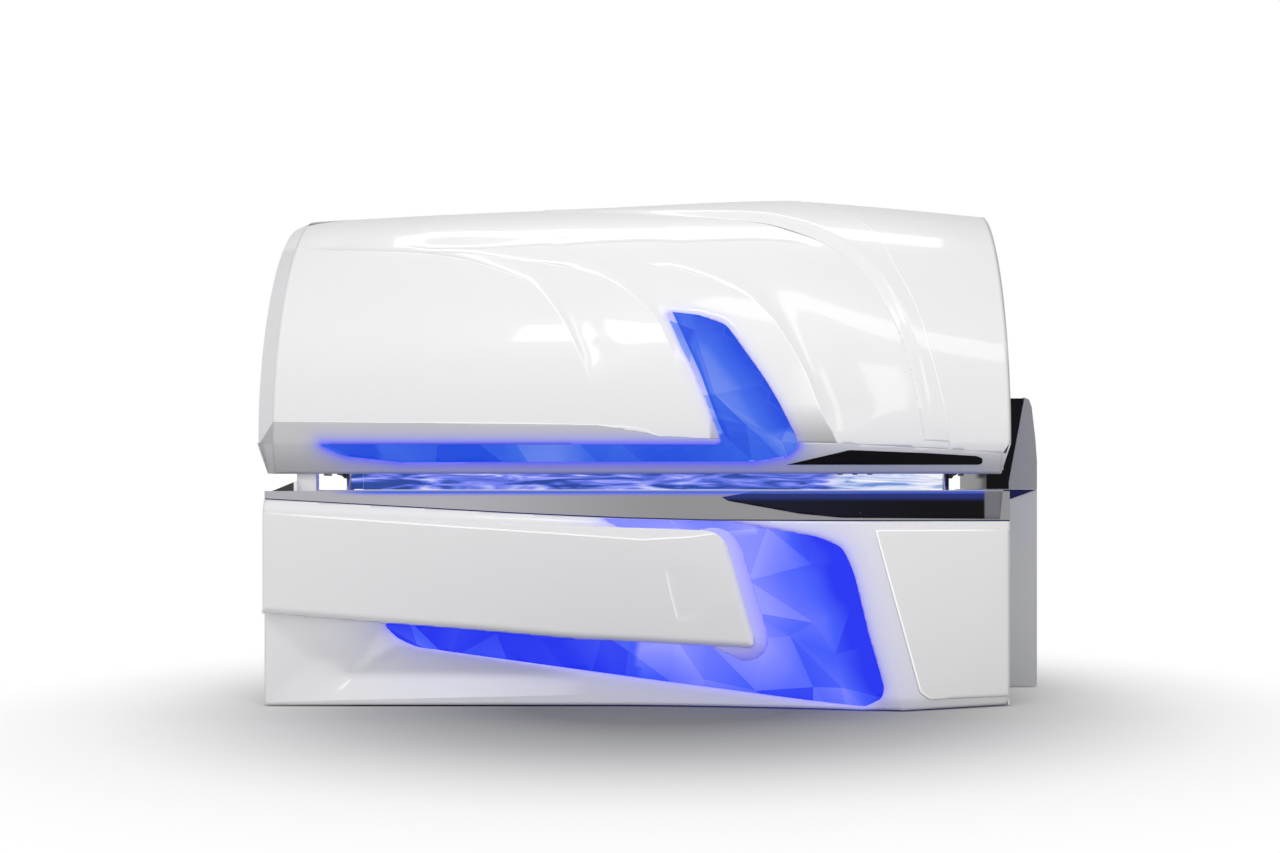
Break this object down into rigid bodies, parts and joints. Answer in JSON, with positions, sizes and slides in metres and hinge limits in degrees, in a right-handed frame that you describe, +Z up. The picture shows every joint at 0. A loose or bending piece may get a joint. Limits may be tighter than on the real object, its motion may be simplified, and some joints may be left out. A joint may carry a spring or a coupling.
{
  "type": "clamshell tanning bed",
  "caption": "Lie-down tanning bed with an acrylic bench and a domed lamp canopy that lifts on a rear hinge with gas springs, lit blue lenses and a rear pillar.",
  "frame": {"origin": "on the floor, in the middle of the bed's length and depth", "axes": "+X along the bed towards the head end and its pillar, -Y the front, +Z up"},
  "size_m": [2.37, 1.4, 1.5704],
  "materials": {
    "white_shell": "satin white moulding",
    "silver_shell": "satin silver grey moulding",
    "satin_grey": "satin grey paint",
    "blue_lens": "translucent blue, lit from behind",
    "light_board": "white board with lamps",
    "black_gloss": "polished black",
    "clear_acrylic": "clear polished acrylic",
    "grey_moulding": "fine grained moulding",
    "bright_profile": "anodised",
    "reflector": "mirror rolled",
    "lamp_glass": "lit phosphor tube",
    "rack_plastic": "moulded",
    "frame_paint": "powder coat",
    "frame_alloy": "mill finish",
    "zinc_sheet": "zinc plated",
    "ballast_steel": "stoved black",
    "foot_rubber": "moulded",
    "fan_black": "moulded",
    "pin_steel": "ground",
    "spring_black": "gloss black",
    "rod_chrome": "hard chrome",
    "bush_bronze": "sintered",
    "button_cap": "soft touch"
  },
  "bodies": {
    "root": {"base_frame": "frame_paint", "base_floor_pan": "zinc_sheet", "levelling_feet": "foot_rubber", "base_lower_fascia": "white_shell", "base_front_lens": "blue_lens", "base_light_board": "light_board", "base_front_cover": "white_shell", "base_right_panel": "white_shell", "base_lip": "satin_grey", "slot_light": "light_board", "base_glass_strip": "black_gloss", "base_rear_deck": "satin_grey", "base_end_caps": "white_shell", "base_rear_cover": "silver_shell", "bench_end_mouldings": "grey_moulding", "bench_acrylic": "clear_acrylic", "acrylic_edge_profiles": "bright_profile", "base_reflector": "reflector", "base_lamps": "lamp_glass", "base_lamp_racks": "rack_plastic", "ballasts": "ballast_steel", "control_box": "zinc_sheet", "mains_gland": "foot_rubber", "base_fan_housing": "fan_black", "pillar_lower": "silver_shell", "pillar_upper": "silver_shell", "pillar_black_trims": "black_gloss", "hinge_brackets": "frame_paint", "pivot_pins": "pin_steel", "gas_spring_cylinders": "spring_black", "canopy_rests": "white_shell"},
    "canopy": {"canopy_fan_housing": "fan_black", "canopy_front_cover": "white_shell", "canopy_head_cover": "white_shell", "canopy_rear_cover": "silver_shell", "canopy_arch": "white_shell", "canopy_skirt": "satin_grey", "canopy_lens": "blue_lens", "canopy_light_board": "light_board", "canopy_trim_plate": "black_gloss", "canopy_end_left": "white_shell", "canopy_end_right": "white_shell", "canopy_frame": "frame_alloy", "canopy_acrylic": "clear_acrylic", "tunnel_end_mouldings": "grey_moulding", "canopy_reflector": "reflector", "canopy_lamps": "lamp_glass", "canopy_lamp_racks": "rack_plastic", "facial_lamp_units": "reflector", "canopy_edge_rails": "satin_grey", "control_panel": "grey_moulding", "lift_arms": "frame_paint", "hinge_bushes": "bush_bronze"},
    "base_fan": {"base_fan_rotor": "fan_black"},
    "canopy_fan": {"canopy_fan_rotor": "fan_black"},
    "gas_rod_left": {"gas_spring_rod_left": "rod_chrome"},
    "gas_rod_right": {"gas_spring_rod_right": "rod_chrome"},
    "button_start": {"button_start": "button_cap"},
    "button_face": {"button_face": "button_cap"},
    "button_air": {"button_air": "button_cap"}
  },
  "joints": [
    {"name": "canopy_lift", "type": "hinge", "parent": "root", "child": "canopy", "pos_m": [0, 0.5, 0.7], "axis": [-1, 0, 0], "range_deg": [0, 38]},
    {"name": "gas_rod_slide_left", "type": "slide", "parent": "root", "child": "gas_rod_left", "axis": [0, 0.3256, 0.9455], "range_m": [0, 0.072]},
    {"name": "gas_rod_slide_right", "type": "slide", "parent": "root", "child": "gas_rod_right", "axis": [0, 0.3256, 0.9455], "range_m": [0, 0.072]},
    {"name": "base_fan_spin", "type": "hinge", "parent": "root", "child": "base_fan", "pos_m": [0.395, 0.18, 0.102], "axis": [0, 0, 1], "continuous": true},
    {"name": "canopy_fan_spin", "type": "hinge", "parent": "canopy", "child": "canopy_fan", "pos_m": [-0.075, -0.06, 1.229], "axis": [0, 0, 1], "continuous": true},
    {"name": "button_start_press", "type": "slide", "parent": "canopy", "child": "button_start", "axis": [0, 0, 1], "range_m": [0, 0.0015], "stiffness_N_per_m": 400},
    {"name": "button_face_press", "type": "slide", "parent": "canopy", "child": "button_face", "axis": [0, 0, 1], "range_m": [0, 0.0015], "stiffness_N_per_m": 400},
    {"name": "button_air_press", "type": "slide", "parent": "canopy", "child": "button_air", "axis": [0, 0, 1], "range_m": [0, 0.0015], "stiffness_N_per_m": 400}
  ],
  "couplings": [
    {"joint": "gas_rod_slide_left", "follows": "canopy_lift", "m_per_rad": 0.10799},
    {"joint": "gas_rod_slide_right", "follows": "canopy_lift", "m_per_rad": 0.10799}
  ]
}
